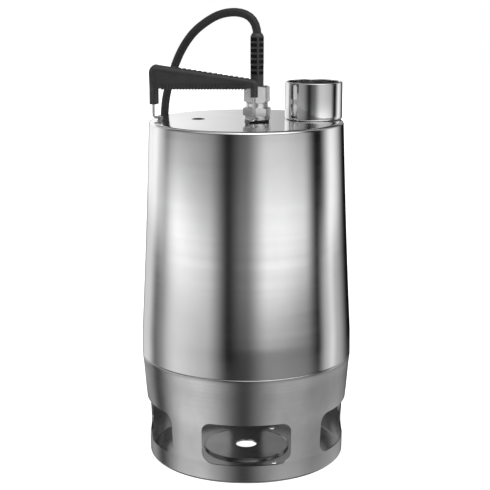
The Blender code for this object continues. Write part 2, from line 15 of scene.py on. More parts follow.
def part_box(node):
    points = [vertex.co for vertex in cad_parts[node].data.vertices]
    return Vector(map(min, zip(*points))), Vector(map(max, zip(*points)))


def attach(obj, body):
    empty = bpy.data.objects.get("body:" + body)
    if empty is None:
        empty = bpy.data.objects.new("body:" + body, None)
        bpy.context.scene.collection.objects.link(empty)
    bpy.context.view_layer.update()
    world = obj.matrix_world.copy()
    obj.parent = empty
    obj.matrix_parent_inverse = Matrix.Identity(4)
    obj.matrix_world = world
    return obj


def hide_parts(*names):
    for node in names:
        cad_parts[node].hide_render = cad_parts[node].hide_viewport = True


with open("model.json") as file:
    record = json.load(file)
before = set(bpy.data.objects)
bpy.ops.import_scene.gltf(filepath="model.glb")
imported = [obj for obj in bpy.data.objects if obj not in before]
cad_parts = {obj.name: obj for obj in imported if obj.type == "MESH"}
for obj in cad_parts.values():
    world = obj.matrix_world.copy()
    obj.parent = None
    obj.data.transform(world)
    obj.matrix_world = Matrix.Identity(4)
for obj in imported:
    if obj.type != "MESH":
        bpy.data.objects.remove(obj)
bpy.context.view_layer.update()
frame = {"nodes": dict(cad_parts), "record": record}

MM = 0.001
TAU = 2 * math.pi
GAP = 0.3  # between pieces that touch


def corners_of(node):
    """Lowest and highest corner of a CAD node, in millimetres."""
    low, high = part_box(node)
    return Vector(low) / MM, Vector(high) / MM


def middle_of(node):
    """Centre of a CAD node's box, in millimetres."""
    low, high = corners_of(node)
    return (low + high) / 2


# Driving places and sizes, read from the frame
SLEEVE_LOW, PLATE = corners_of("sleeve")[0].z, corners_of("sleeve")[1].z
SEAM = SLEEVE_LOW - GAP / 2
SOCKET = middle_of("discharge_socket")
SOCKET_LOW, SOCKET_HIGH = corners_of("discharge_socket")[0].z, corners_of("discharge_socket")[1].z
SOCKET_R = (corners_of("discharge_socket")[1].x - corners_of("discharge_socket")[0].x) / 2
GLAND = middle_of("gland_gasket")
NUT_LOW, NUT_HIGH = corners_of("gland_nut")[0].z, corners_of("gland_nut")[1].z
BOOT_LOW, BOOT_HIGH = corners_of("strain_boot")[0].z, corners_of("strain_boot")[1].z
VENT = middle_of("vent_valve")
COIL_LOW_CORNER, COIL_HIGH_CORNER = corners_of("cable_coil")
COIL = middle_of("cable_coil")


# ---------------------------------------------------------------- shapes

pieces = bpy.data.collections.new("pieces")
bpy.context.scene.collection.children.link(pieces)


def finished(shape, name, sharp=35):
    """The bmesh as a linked object, smooth but for edges sharper than the angle in degrees."""
    bmesh.ops.recalc_face_normals(shape, faces=shape.faces)
    mesh = bpy.data.meshes.new(name)
    shape.to_mesh(mesh)
    shape.free()
    mesh.shade_smooth()
    mesh.set_sharp_from_angle(angle=math.radians(sharp))
    obj = bpy.data.objects.new(name, mesh)
    pieces.objects.link(obj)
    return obj


def arc(centre, radius, start, end, steps=8):
    """Points on an arc of a profile, between two angles in degrees."""
    turns = [math.radians(start + (end - start) * i / steps) for i in range(steps + 1)]
    return [(centre[0] + radius * math.cos(a), centre[1] + radius * math.sin(a)) for a in turns]


def ring(centre, radius, count=24):
    """A full circle of points."""
    return arc(centre, radius, 0, 360 - 360 / count, count - 1)


def grid(shape, rows):
    """Faces between neighbouring closed rows of vertices."""
    for a, b in zip(rows, rows[1:]):
        count = len(a)
        for i in range(count):
            j = (i + 1) % count
            corners = list(dict.fromkeys([a[i], a[j], b[j], b[i]]))
            if len(corners) > 2:
                shape.faces.new(corners)


def turned(name, outline, steps=96, at=(0, 0, 0), sharp=35):
    """A turned solid from a closed outline of (radius, height) points."""
    shape = bmesh.new()
    rows = []
    for radius, height in outline + outline[:1]:
        if radius < 1e-6:
            rows.append([shape.verts.new((at[0] * MM, at[1] * MM, height * MM))] * steps)
            continue
        turns = [TAU * i / steps for i in range(steps)]
        places = [(at[0] + radius * math.cos(a), at[1] + radius * math.sin(a), height) for a in turns]
        rows.append([shape.verts.new(Vector(p) * MM) for p in places])
    grid(shape, rows)
    bmesh.ops.remove_doubles(shape, verts=shape.verts, dist=1e-7)
    return finished(shape, name, sharp)


def prism(name, outline, low, high, place=Matrix(), sharp=35):
    """An outline in x and y, stood up from low to high along z, then put at a place in millimetres."""
    shape = bmesh.new()
    rows = [[shape.verts.new((x, y, z)) for x, y in outline] for z in (low, high)]
    grid(shape, rows)
    shape.faces.new(rows[0])
    shape.faces.new(rows[1])
    bmesh.ops.transform(shape, matrix=Matrix.Scale(MM, 4) @ place, verts=shape.verts)
    return finished(shape, name, sharp)


def block(name, size, place=Matrix()):
    """A box from its full sizes."""
    x, y, z = (value / 2 for value in size)
    return prism(name, [(-x, -y), (x, -y), (x, y), (-x, y)], -z, z, place)


def hexagon(radius, turn):
    """Corners of a hexagon, the first one at the turn in degrees."""
    turns = [math.radians(turn + 60 * i) for i in range(6)]
    return [(radius * math.cos(a), radius * math.sin(a)) for a in turns]


def carve(obj, others, operation="DIFFERENCE", sharp=35):
    """Cuts the others from obj, or joins or crosses them with it, and removes them."""
    for other in others:
        change = obj.modifiers.new("carve", "BOOLEAN")
        change.operation = operation
        change.object = other
        change.solver = "EXACT"
    graph = bpy.context.evaluated_depsgraph_get()
    mesh = bpy.data.meshes.new_from_object(obj.evaluated_get(graph))
    obj.modifiers.clear()
    obj.data = mesh
    mesh.shade_smooth()
    mesh.set_sharp_from_angle(angle=math.radians(sharp))
    for other in others:
        bpy.data.objects.remove(other, do_unlink=True)
    return obj


def joined(name, parts, sharp=35):
    """Several objects as one."""
    shape = bmesh.new()
    for part in parts:
        first = len(shape.verts)
        shape.from_mesh(part.data)
        shape.verts.ensure_lookup_table()
        bmesh.ops.transform(shape, matrix=part.matrix_world, verts=shape.verts[first:])
        bpy.data.objects.remove(part, do_unlink=True)
    return finished(shape, name, sharp)


def bar(name, points, radius, sides=16):
    """A round bar along the points, as a mesh with closed ends."""
    curve = wire_curve(name, points, radius, sides)
    obj = bpy.data.objects.new(name, curve)
    pieces.objects.link(obj)
    graph = bpy.context.evaluated_depsgraph_get()
    mesh = bpy.data.meshes.new_from_object(obj.evaluated_get(graph))
    bpy.data.objects.remove(obj, do_unlink=True)
    shape = bmesh.new()
    shape.from_mesh(mesh)
    bmesh.ops.remove_doubles(shape, verts=shape.verts, dist=1e-7)
    return finished(shape, name, 40)


def wire_curve(name, points, radius, sides):
    """A round cord along the points, as a curve with closed ends."""
    curve = bpy.data.curves.new(name, "CURVE")
    curve.dimensions = "3D"
    curve.bevel_depth = radius * MM
    curve.bevel_resolution = sides // 2 - 2
    curve.use_fill_caps = True
    line = curve.splines.new("POLY")
    line.points.add(len(points) - 1)
    for point, place in zip(line.points, points):
        point.co = (*(Vector(place) * MM), 1)
    line.use_smooth = True
    return curve


def smooth(points, step):
    """Points about step apart on a smooth curve through the given ones."""
    ends = [2 * Vector(points[0]) - Vector(points[1])]
    ends += [Vector(p) for p in points]
    ends += [2 * Vector(points[-1]) - Vector(points[-2])]
    found = []
    for a, b, c, d in zip(ends, ends[1:], ends[2:], ends[3:]):
        count = max(1, round((c - b).length / step))
        for i in range(count):
            t = i / count
            cubic = 2 * b + (c - a) * t + (2 * a - 5 * b + 4 * c - d) * t**2
            found.append((cubic + (3 * b - a - 3 * c + d) * t**3) / 2)
    return found + [ends[-2]]


# ---------------------------------------------------------------- finishes

class Look:
    """A procedural material: chains of noise that colour it, change its gloss and raise its surface."""

    def __init__(self, name, colour, roughness, metallic=0.0, specular=0.5):
        self.made = bpy.data.materials.new(name)
        self.made.use_nodes = True
        self.nodes, self.links = self.made.node_tree.nodes, self.made.node_tree.links
        self.shader = self.nodes["Principled BSDF"]
        self.shader.inputs["Base Color"].default_value = (*colour, 1)
        self.shader.inputs["Roughness"].default_value = roughness
        self.shader.inputs["Metallic"].default_value = metallic
        self.shader.inputs["Specular IOR Level"].default_value = specular
        self.place = self.nodes.new("ShaderNodeTexCoord").outputs["Object"]
        self.normal = None

    def math(self, operation, first, second=0.0):
        node = self.nodes.new("ShaderNodeMath")
        node.operation = operation
        for socket, value in zip(node.inputs, (first, second)):
            if hasattr(value, "links"):
                self.links.new(value, socket)
            else:
                socket.default_value = value
        return node.outputs[0]

    def mapped(self, scale, offset=(0, 0, 0)):
        node = self.nodes.new("ShaderNodeMapping")
        node.inputs["Scale"].default_value = scale
        node.inputs["Location"].default_value = offset
        self.links.new(self.place, node.inputs["Vector"])
        return node.outputs[0]

    def round_axis(self, centre, across, along):
        """Coordinates that change with the distance from an upright axis and with height only."""
        parts = self.nodes.new("ShaderNodeSeparateXYZ")
        moved = self.mapped((1, 1, 1), (-centre[0] * MM, -centre[1] * MM, 0))
        self.links.new(moved, parts.inputs[0])
        squares = [self.math("MULTIPLY", parts.outputs[i], parts.outputs[i]) for i in (0, 1)]
        radius = self.math("SQRT", self.math("ADD", *squares))
        node = self.nodes.new("ShaderNodeCombineXYZ")
        self.links.new(self.math("MULTIPLY", radius, across), node.inputs[0])
        self.links.new(self.math("MULTIPLY", parts.outputs[2], along), node.inputs[2])
        return node.outputs[0]

    def noise(self, where, scale, detail=3.0, roughness=0.5):
        node = self.nodes.new("ShaderNodeTexNoise")
        node.inputs["Scale"].default_value = scale
        node.inputs["Detail"].default_value = detail
        node.inputs["Roughness"].default_value = roughness
        self.links.new(where, node.inputs["Vector"])
        return node.outputs["Fac"]

    def span(self, fac, low, high, start=0.3, end=0.7):
        node = self.nodes.new("ShaderNodeMapRange")
        self.links.new(fac, node.inputs["Value"])
        for socket, value in zip(("From Min", "From Max", "To Min", "To Max"), (start, end, low, high)):
            node.inputs[socket].default_value = value
        return node.outputs["Result"]

    def colour(self, fac, *stops):
        """Base colour from (position, colour) stops."""
        node = self.nodes.new("ShaderNodeValToRGB")
        ramp = node.color_ramp
        while len(ramp.elements) < len(stops):
            ramp.elements.new(0.5)
        for element, (position, value) in zip(ramp.elements, stops):
            element.position = position
            element.color = (*value, 1)
        self.links.new(fac, node.inputs["Fac"])
        self.links.new(node.outputs["Color"], self.shader.inputs["Base Color"])

    def rough(self, fac, low, high, start=0.3, end=0.7):
        self.links.new(self.span(fac, low, high, start, end), self.shader.inputs["Roughness"])

    def bump(self, fac, strength, distance):
        node = self.nodes.new("ShaderNodeBump")
        node.inputs["Strength"].default_value = strength
        node.inputs["Distance"].default_value = distance * MM
        self.links.new(fac, node.inputs["Height"])
        if self.normal:
            self.links.new(self.normal, node.inputs["Normal"])
        self.normal = node.outputs["Normal"]
        self.links.new(self.normal, self.shader.inputs["Normal"])


def grey(value):
    """A grey that is very slightly blue, like stainless steel."""
    return (value, value, value * 1.005)


def polished_steel(name, centre=(0, 0)):
    """Drawn and polished stainless: faint rings from the polishing wheel and soft long waves."""
    look = Look(name, grey(0.86), 0.12, 1.0)
    rings = look.noise(look.round_axis(centre, 900, 90), 1.0, 2)
    clouds = look.noise(look.mapped((9, 9, 5)), 2.0, 3)
    look.colour(clouds, (0.3, grey(0.82)), (0.7, grey(0.90)))
    look.rough(rings, 0.105, 0.135)
    look.bump(look.noise(look.mapped((12, 12, 2)), 1.0, 1), 0.05, 0.5)
    return look.made


def satin_steel(name):
    """Pressed stainless with a fine ground finish round its axis."""
    look = Look(name, grey(0.62), 0.24, 1.0)
    rings = look.noise(look.round_axis((0, 0), 1500, 900), 1.0, 3, 0.6)
    clouds = look.noise(look.mapped((12, 12, 8)), 2.0, 3)
    look.colour(clouds, (0.3, grey(0.56)), (0.7, grey(0.68)))
    look.rough(rings, 0.20, 0.26)
    look.bump(rings, 0.08, 0.04)
    return look.made


def machined_steel(name, centre=(0, 0), value=0.7, roughness=0.2):
    """Turned or milled stainless with fine tool rings."""
    look = Look(name, grey(value), roughness, 1.0)
    rings = look.noise(look.round_axis(centre, 3500, 3500), 1.0, 2)
    clouds = look.noise(look.mapped((60, 60, 60)), 2.0, 3)
    look.colour(clouds, (0.3, grey(value * 0.92)), (0.7, grey(value * 1.04)))
    look.rough(rings, roughness * 0.8, roughness * 1.3)
    look.bump(rings, 0.10, 0.03)
    return look.made


def moulded(name, value, roughness, grain=2600, depth=0.05):
    """Moulded plastic or rubber: a fine grain, faint flow marks and uneven gloss."""
    look = Look(name, (value,) * 3, roughness, 0.0, 0.45)
    flow = look.noise(look.mapped((30, 30, 30)), 2.0, 4)
    fine = look.noise(look.mapped((1, 1, 1)), grain, 2)
    low, high = (value * 0.88,) * 3, (value * 1.14,) * 3
    look.colour(flow, (0.3, low), (0.7, high))
    look.rough(look.noise(look.mapped((1, 1, 1)), 300, 3), roughness * 0.88, min(1.0, roughness * 1.12))
    look.bump(fine, 0.22, depth)
    return look.made


def cast(name):
    """Grey cast iron with a coarse grain."""
    look = Look(name, (0.16, 0.165, 0.18), 0.55, 0.7)
    coarse = look.noise(look.mapped((1, 1, 1)), 500, 4, 0.6)
    look.colour(coarse, (0.3, (0.12, 0.125, 0.14)), (0.7, (0.22, 0.225, 0.24)))
    look.rough(coarse, 0.45, 0.65)
    look.bump(coarse, 0.5, 0.25)
    return look.made


def laminated(name):
    """Stacked sheet steel: one fine line for each half millimetre of height."""
    look = Look(name, grey(0.30), 0.42, 0.9)
    parts = look.nodes.new("ShaderNodeSeparateXYZ")
    look.links.new(look.place, parts.inputs[0])
    lines = look.math("SINE", look.math("MULTIPLY", parts.outputs[2], TAU / (0.5 * MM)))
    look.colour(look.span(lines, 0, 1, -1, 1), (0.1, grey(0.18)), (0.6, grey(0.36)))
    look.rough(look.noise(look.mapped((1, 1, 1)), 400, 3), 0.35, 0.5)
    look.bump(lines, 0.3, 0.08)
    return look.made


def wound_copper(name):
    """Enamelled winding wire, in rings about 0.8 mm apart."""
    look = Look(name, (0.62, 0.27, 0.11), 0.35, 0.9)
    rings = look.noise(look.round_axis((0, 0), 1300, 1300), 1.0, 1)
    look.colour(rings, (0.3, (0.36, 0.13, 0.05)), (0.7, (0.74, 0.35, 0.15)))
    look.rough(rings, 0.28, 0.45)
    look.bump(rings, 0.8, 0.4)
    return look.made


def smooth_carbon(name):
    """The sealing ring's dark carbon."""
    look = Look(name, grey(0.05), 0.3, 0.3)
    spots = look.noise(look.mapped((1, 1, 1)), 900, 3)
    look.colour(spots, (0.3, grey(0.03)), (0.7, grey(0.07)))
    look.rough(spots, 0.22, 0.38)
    return look.made


def ceramic(name):
    """The sealing seat's pale ceramic."""
    look = Look(name, (0.8, 0.78, 0.72), 0.3)
    spots = look.noise(look.mapped((1, 1, 1)), 700, 3)
    look.colour(spots, (0.3, (0.74, 0.72, 0.66)), (0.7, (0.84, 0.82, 0.77)))
    look.rough(spots, 0.22, 0.36)
    return look.made


def brass(name):
    """Turned brass."""
    look = Look(name, (0.72, 0.52, 0.24), 0.28, 1.0)
    spots = look.noise(look.mapped((1, 1, 1)), 500, 3)
    look.colour(spots, (0.3, (0.62, 0.43, 0.18)), (0.7, (0.78, 0.58, 0.29)))
    look.rough(spots, 0.2, 0.36)
    return look.made


def settle(obj, body, slot, look, *nodes):
    """Gives a piece its finish and the body it rides on, and hides the CAD nodes it stands for. The slot is
    not used.
    """
    obj.data.materials.clear()
    obj.data.materials.append(look)
    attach(obj, body)
    if nodes:
        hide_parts(*nodes)
    return obj


# ---------------------------------------------------------------- camera

SENSOR, LENS = 36.0, 92.42
CAMERA = Vector((-1.48, -1430.0, 566.6))
CAMERA_TILT = 77.47  # degrees from looking straight down


def make_camera():
    data = bpy.data.cameras.new("camera")
    data.sensor_fit = "HORIZONTAL"
    data.sensor_width, data.lens = SENSOR, LENS
    camera = bpy.data.objects.new("camera", data)
    camera.location = CAMERA * MM
    camera.rotation_euler = (math.radians(CAMERA_TILT), 0, 0)
    bpy.context.scene.collection.objects.link(camera)
    bpy.context.scene.camera = camera


# ---------------------------------------------------------------- cord

CABLE_R = 4.75
COIL_MEAN_R, COIL_TURNS_WIDE, COIL_LAYERS = 81.0, 5, 4
COIL_LOW, COIL_TOP = COIL_LOW_CORNER.z, COIL_HIGH_CORNER.z
PLUG = Vector((COIL.x - 22, COIL.y + 66, COIL_TOP + GAP + 19.0))  # back of the plug, which points along +X
ROUTE = [
    (12, -12, 409), (12, -12, 450), (12, -12, 480), (11.6, -11.8, 496.5), (7.4, -10, 507),
    (-0.5, -6.5, 513.2), (-12, -1.5, 515.6), (-27, 5, 513.6), (-42, 13, 506.5), (-60, 24, 492),
    (-74.5, 35, 471.5), (-85.5, 46, 446), (-94, 57, 417), (-97.5, 66.5, 390), (-99.8, 73, 350),
    (-101, 78, 290), (-101.5, 82, 220), (-101.5, 83.5, 150), (-101.5, 84, 90), (-102, 87, 50),
    (-102.8, 99, 24), (-103.6, 119, 9.5), (-104.2, 145, 6.35), (-104.6, 170, 6.35), (-104.8, 193, 6.35),
]
STEPS_A_TURN = 36
CROSS_START, CROSS_END = 0.53, 0.68  # share of a turn in which the cable steps to the next place
CROSS_RISE = 1.3  # how far, for each layer below, the cable is lifted where it steps across
LAST_TURN = 0.72  # how much of the last turn is on the coil before the tail rises from it
CURVE_STEP = 6  # between the points of the lead and the tail


def step_between(start, end, value):
    """A smooth rise from 0 to 1 as the value goes from start to end."""
    t = min(1.0, max(0.0, (value - start) / (end - start)))
    return t * t * (3 - 2 * t)


def coil_line():
    """Turns laid side by side, in and out again, each layer in the grooves of the one below."""
    pitch = 2 * CABLE_R
    turns = []
    for layer in range(COIL_LAYERS):
        count = COIL_TURNS_WIDE - layer % 2
        radii = [COIL_MEAN_R + (i - (count - 1) / 2) * pitch for i in range(count)]
        up = COIL_LOW + CABLE_R + layer * pitch * math.sqrt(0.75)
        turns += [(radius, up, layer) for radius in (radii if layer % 2 else reversed(radii))]
    turns.append(turns[-1])
    points = []
    for number, (here, there) in enumerate(zip(turns, turns[1:])):
        last = number == len(turns) - 2
        for i in range(round(STEPS_A_TURN * (LAST_TURN if last else 1))):
            part = i / STEPS_A_TURN
            share = step_between(CROSS_START, CROSS_END, part)
            radius = here[0] + (there[0] - here[0]) * share
            hump = 0 if last else CROSS_RISE * here[2] * math.sin(math.pi * share) ** 2
            angle = math.pi - TAU * part
            up = here[1] + (there[1] - here[1]) * share + hump
            points.append(Vector((COIL.x + radius * math.cos(angle), COIL.y + radius * math.sin(angle), up)))
    return points


def make_cord():
    up = COIL_TOP + GAP + CABLE_R
    tail = [(-64, -50, up), (-78.5, -20, up), (-81, 7, up + 1), (-73, 33, up + 4), (-57, 52, up + 9)]
    tail += [(-40, 62, up + 13), (-22, 66, PLUG.z), (-12, 66, PLUG.z)]
    tail = [Vector((COIL.x + x, COIL.y + y, z)) for x, y, z in tail]
    coil = coil_line()
    lead = smooth(ROUTE, CURVE_STEP)
    end = smooth([coil[-2], coil[-1]] + tail, CURVE_STEP)[1:]
    points = lead + coil[1:-1] + end
    length = sum((b - a).length for a, b in zip(points, points[1:])) * MM
    print(f"cord line {length:.3f} m")
    cable = bpy.data.objects.new("mains_cable", wire_curve("mains_cable", points, CABLE_R, 16))
    pieces.objects.link(cable)
    jacket = moulded("cable_jacket", 0.046, 0.52, 1500, 0.04)
    settle(cable, "casing", "cable_rubber", jacket, "cable", "cable_coil", "cable_tail")
    return cable


def make_boot():
    """The kink sleeve on the cable: a solid foot, then rows of pockets down to a thin inner tube."""
    x, y = GLAND.x, GLAND.y
    bore, core, outer = CABLE_R + GAP, 5.35, 7.5
    pocket, first_turn = (8, 8.8, 3.9), -37
    outline = [(bore, BOOT_HIGH), (5.5, BOOT_HIGH), (5.9, BOOT_HIGH - 0.4), (7.2, BOOT_HIGH - 2.8)]
    outline += [(outer, BOOT_HIGH - 3.6), (outer, BOOT_LOW + 12), (outer, BOOT_LOW), (bore, BOOT_LOW)]
    boot = turned("kink_sleeve", outline, 64, (x, y, 0))
    first, rows = BOOT_LOW + 14, 7
    pitch = (BOOT_HIGH - 6.5 - first) / (rows - 1)
    for quarter in range(4):
        turn = Matrix.Rotation(math.radians(first_turn + 90 * quarter), 4, "Z")
        slots = []
        for row in range(rows):
            place = Matrix.Translation((x, y, first + pitch * row)) @ turn
            place = place @ Matrix.Translation((core + pocket[0] / 2, 0, 0))
            slots.append(block(f"slot_{quarter}_{row}", pocket, place))
        carve(boot, [joined(f"slots_{quarter}", slots)])
    rubber = moulded("kink_sleeve_rubber", 0.075, 0.40, 1800, 0.05)
    settle(boot, "casing", "black_rubber", rubber, "strain_boot")
    # The pocket floors and the bore get a near-black colour: painted shade in the pockets, darker than the
    # sleeve's own rubber.
    boot.data.materials.append(moulded("kink_sleeve_pocket_painted_shade", 0.006, 0.7, 1800, 0.05))
    for face in boot.data.polygons:
        reach = math.hypot(face.center.x / MM - x, face.center.y / MM - y)
        face.material_index = int(reach < core + 0.2 and face.center.z < (BOOT_HIGH - 2) * MM)
    return boot


TIE_WIDE = 11.2
TIES = ((1, 0.0), (2, 240.0))  # number and azimuth on the coil


def make_ties():
    """Two flat straps round the coil's section."""
    edge_out, edge_in = TIE_WIDE / 2, TIE_WIDE / 2 - 0.3
    half, high = CABLE_R * COIL_TURNS_WIDE, (COIL_TOP - COIL_LOW) / 2
    centre = (COIL_LOW + COIL_TOP) / 2
    ties = []
    for number, angle in TIES:
        rows = []
        shape = bmesh.new()
        turn = Matrix.Rotation(math.radians(angle), 4, "Z") @ Matrix.Translation((COIL_MEAN_R, 0, 0))
        where = Matrix.Translation((COIL.x, COIL.y, centre)) @ turn @ Matrix.Rotation(math.pi / 2, 4, "X")
        section = [(1.2, -edge_out), (1.9, -edge_out), (2.1, -edge_in)]
        section += [(grow, -side) for grow, side in reversed(section)]
        for grow, side in section:
            edge = rounded(half + grow, high + grow - 0.7, 5.0)
            rows.append([shape.verts.new(where @ Vector((a, b, side)) * MM) for a, b in edge])
        grid(shape, rows + rows[:1])
        tie = finished(shape, f"coil_strap_{number}")
        strap = moulded(f"strap_rubber_{number}", 0.04, 0.6, 1200, 0.1)
        ties.append(settle(tie, "casing", "black_rubber", strap, f"coil_tie_{number}"))
    return ties


def rounded(wide, high, radius):
    """A rounded rectangle from its half sizes."""
    corners = arc((wide - radius, high - radius), radius, 0, 90)
    corners += arc((radius - wide, high - radius), radius, 90, 180)
    corners += arc((radius - wide, radius - high), radius, 180, 270)
    return corners + arc((wide - radius, radius - high), radius, 270, 360)


PLUG_RIBS = 24
PIN_SIDES = (("left", -9.5), ("right", 9.5))


def make_plug():
    """A two-pin plug: a round moulded head with grip grooves and two solid pins."""
    front, back = 60.0, 0.0
    outline = [(0, front)] + arc((17.2, front - 1.8), 1.8, 90, 0, 5) + arc((17.6, 38.4), 1.4, 0, -60, 4)
    outline += [(16.4, 34.0), (14.6, 30.6), (11.0, 27.6), (8.6, 25.0), (7.8, 22.0)]
    for ring_low in (17.0, 12.5, 8.0, 3.5):
        outline += [(7.7, ring_low + 2.6), (6.6, ring_low + 2.2), (6.6, ring_low + 0.6), (7.4, ring_low)]
    outline += [(6.4, back), (CABLE_R + GAP, back), (CABLE_R + GAP, 14), (0, 14)]
    body = turned("plug_head", outline, 72)
    grooves = []
    for i in range(PLUG_RIBS):
        turn = Matrix.Rotation(TAU * i / PLUG_RIBS, 4, "Z")
        grooves.append(block(f"groove_{i}", (1.0, 1.4, 14.0), turn @ Matrix.Translation((18.9, 0, 47.5))))
    holes = [prism(f"pin_hole_{name}", ring((0, side), 2.7), 50, 65) for name, side in PIN_SIDES]
    carve(body, [joined("grooves", grooves)])
    carve(body, holes)
    metres = Matrix.Translation(PLUG * MM) @ Matrix.Rotation(math.pi / 2, 4, "Y")
    body.matrix_world = metres
    settle(body, "casing", "black_plastic", moulded("plug_plastic", 0.035, 0.45, 1500, 0.06), "plug_body")
    made = [body]
    for name, side in PIN_SIDES:
        pin = [(0, 79), (0.9, 79)] + arc((0.9, 77.5), 1.5, 80, 0, 5) + [(2.4, 62), (2.4, 50.5), (0, 50.5)]
        pin = turned(f"plug_contact_{name}", pin, 32, (0, side, 0))
        pin.matrix_world = metres
        steel = machined_steel(f"plug_contact_steel_{name}", (0, 0), 0.75, 0.22)
        made.append(settle(pin, "casing", "plain_stainless", steel, f"plug_pin_{name}"))
    return made


# ---------------------------------------------------------------- sleeve

SLEEVE_WALL = 1.5
SLEEVE_STEPS, SLEEVE_ROWS = 288, 30
SLEEVE_TOP_R, SLEEVE_EDGE_R = 110.9, 4.0
KNEE_R, KNEE_Z, SEAM_R = 122.0, 150.0, 122.3
SOCKET_BORE_R, SOCKET_THREAD_R, SOCKET_PITCH = 28.3, 29.4, 2.31
PLATE_HOLES = (("gland", GLAND, 8.8), ("socket", SOCKET, SOCKET_BORE_R), ("vent", VENT, 8.0))


def sleeve_radius(z):
    """Outer radius of the sleeve: a slightly hollow taper down to the knee, then nearly straight."""
    top = PLATE - SLEEVE_EDGE_R
    if z >= KNEE_Z:
        t = (top - z) / (top - KNEE_Z)
        return SLEEVE_TOP_R + (KNEE_R - SLEEVE_TOP_R) * (0.75 * t + 0.25 * t * t)
    return KNEE_R + (SEAM_R - KNEE_R) * (KNEE_Z - z) / (KNEE_Z - SEAM)


def make_sleeve():
    """The sleeve and its flat top plate, a sheet with a rounded edge and three holes."""
    top = PLATE - SLEEVE_EDGE_R
    inner_top = SLEEVE_TOP_R - SLEEVE_EDGE_R
    down = top - SLEEVE_LOW - 1.2
    heights = [top - down * i / SLEEVE_ROWS for i in range(1, SLEEVE_ROWS + 1)] + [SLEEVE_LOW + 0.7]
    outline = [(0, PLATE), (60, PLATE), (inner_top - 6, PLATE)]
    outline += arc((inner_top, top), SLEEVE_EDGE_R, 90, 0, 12)
    outline += [(sleeve_radius(z), z) for z in heights]
    outline += [(SEAM_R, SLEEVE_LOW + 0.3), (SEAM_R - 0.15, SLEEVE_LOW + 0.15), (SEAM_R - 0.5, SLEEVE_LOW)]
    outline += [(SEAM_R - SLEEVE_WALL, SLEEVE_LOW)]
    outline += [(sleeve_radius(z) - SLEEVE_WALL, z) for z in reversed(heights)]
    outline += arc((inner_top, top), SLEEVE_EDGE_R - SLEEVE_WALL, 0, 90, 6) + [(0, PLATE - SLEEVE_WALL)]
    sleeve = turned("outer_sleeve", outline, SLEEVE_STEPS)
    holes = []
    for name, place, radius in PLATE_HOLES:
        holes.append(prism(f"hole_{name}", ring(place, radius, 96), PLATE - 6, PLATE + 6))
    carve(sleeve, holes)
    settle(sleeve, "casing", "polished_stainless", polished_steel("sleeve_polish"), "sleeve")


def make_socket():
    """The discharge socket: a weld root, a straight wall, and a pipe thread inside."""
    wall, bore, root = SOCKET_R, SOCKET_BORE_R, SOCKET_THREAD_R
    outline = [(27.9, SOCKET_LOW), (31.2, SOCKET_LOW)] + arc((31.2, SOCKET_LOW + 1.65), 1.65, -60, 0, 4)
    outline += [(wall, SOCKET_LOW + 5.0), (wall, SOCKET_HIGH - 1.2)]
    outline += arc((wall - 1.2, SOCKET_HIGH - 1.2), 1.2, 10, 90, 5)
    outline += [(root + 0.8, SOCKET_HIGH), (root, SOCKET_HIGH - 0.8)]
    shape = bmesh.new()
    steps, pitch = 96, SOCKET_PITCH
    turns = [TAU * i / steps for i in range(steps)]

    def row(places):
        corners = []
        for a, (r, z) in zip(turns, places):
            corner = Vector((SOCKET.x + r * math.cos(a), SOCKET.y + r * math.sin(a), z))
            corners.append(shape.verts.new(corner * MM))
        return corners

    rows = [row([point] * steps) for point in outline]
    low, high = SOCKET_LOW + 6.0, SOCKET_HIGH - 8.0
    count = int((high - low) / pitch) * 4
    for k in range(count, -1, -1):
        radius = (root, root, bore, bore)[k % 4]
        rows.append(row([(radius, min(low + pitch * (k / 4 + i / steps), high)) for i in range(steps)]))
    rows += [row([(bore, SOCKET_LOW + 1.0)] * steps), rows[0]]
    grid(shape, rows)
    bmesh.ops.remove_doubles(shape, verts=shape.verts, dist=1e-6)
    socket = finished(shape, "threaded_socket", 28)
    polish = polished_steel("socket_polish", SOCKET)
    settle(socket, "casing", "polished_stainless", polish, "discharge_socket")


def make_vent():
    """The vent in the plate: a low lip round a rough recess of black plastic, painted darker still as painted
    shade.
    """
    recess = 6.15
    outline = [(0, PLATE - 3.2), (2.2, PLATE - 3.2), (2.5, PLATE - 3.0), (5.6, PLATE - 1.8)]
    outline += [(6.1, PLATE + 0.05), (6.3, PLATE + 0.25), (7.3, PLATE + 0.25), (7.6, PLATE)]
    outline += [(7.6, PLATE - 8.0), (0, PLATE - 8.0)]
    vent = turned("vent_cap", outline, 48, VENT)
    settle(vent, "casing", "black_plastic", moulded("vent_plastic", 0.012, 0.16, 2600, 0.005), "vent_valve")
    # The recess faces are black plastic painted darker than the cap as painted shade, with a rougher finish.
    vent.data.materials.append(moulded("vent_recess_painted_shade", 0.004, 0.85, 1800, 0.05))
    for face in vent.data.polygons:
        reach = math.hypot(face.center.x / MM - VENT.x, face.center.y / MM - VENT.y)
        face.material_index = int(reach < recess)


# ---------------------------------------------------------------- strainer

STRAINER_STEPS = 240
STRAINER_WALL = 1.9
FOOT = (111.1, 3.5)  # centre of the rounding under the cup: radius and height
FOOT_R = FOOT[1]
WINDOWS, WINDOW_HALF, WINDOW_LOW, WINDOW_HIGH = 5, 50.0, 21.4, 70.0
WINDOW_TOP_R, WINDOW_LOW_R = 10.5, 14.0  # the rounding of a window's corners
FLOOR_HOLE_R, FLOOR_HOLES_AT, LUG_HOLE_R, LUG_HOLES_AT = 3.75, 64.5, 2.8, 107.0


def around(radius, degrees):
    """A point at a distance and azimuth from the object's axis."""
    angle = math.radians(degrees)
    return (radius * math.cos(angle), radius * math.sin(angle))


